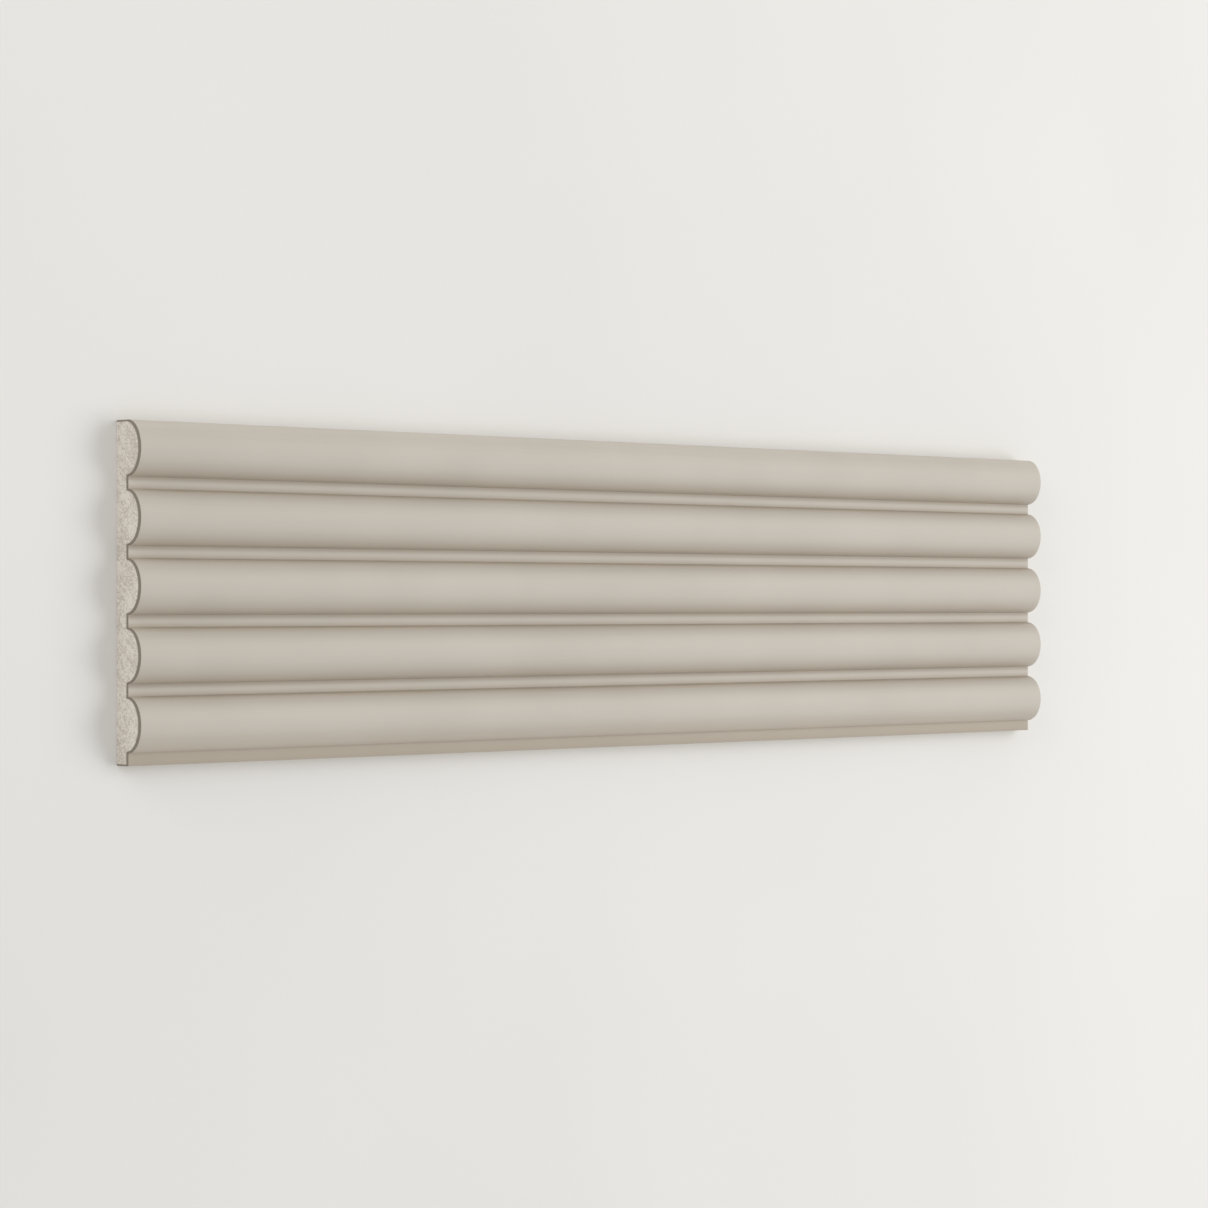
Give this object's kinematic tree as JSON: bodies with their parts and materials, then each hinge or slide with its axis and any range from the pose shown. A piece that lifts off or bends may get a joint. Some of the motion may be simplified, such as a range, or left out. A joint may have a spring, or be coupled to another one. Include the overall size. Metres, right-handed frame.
{
  "type": "polystyrene wall panel",
  "caption": "Sawn length of reeded wall panel: polystyrene foam with half-round ribs and narrow flat strips, covered by a matt film and glued to a wall by its plain back.",
  "frame": {"origin": "middle of the plain back, the face that is glued to the wall", "axes": "+X along the panel and its ribs, +Y across it towards the long edge whose rib is flush, +Z from the back to the crests of the ribs"},
  "size_m": [0.5, 0.12, 0.0135],
  "materials": {
    "foam": "bare extruded polystyrene foam, near white, with fine cells where it is sawn",
    "film": "matt to satin beige polystyrene film"
  },
  "bodies": {
    "root": {"foam_core": "foam", "face_film": "film"}
  },
  "joints": []
}
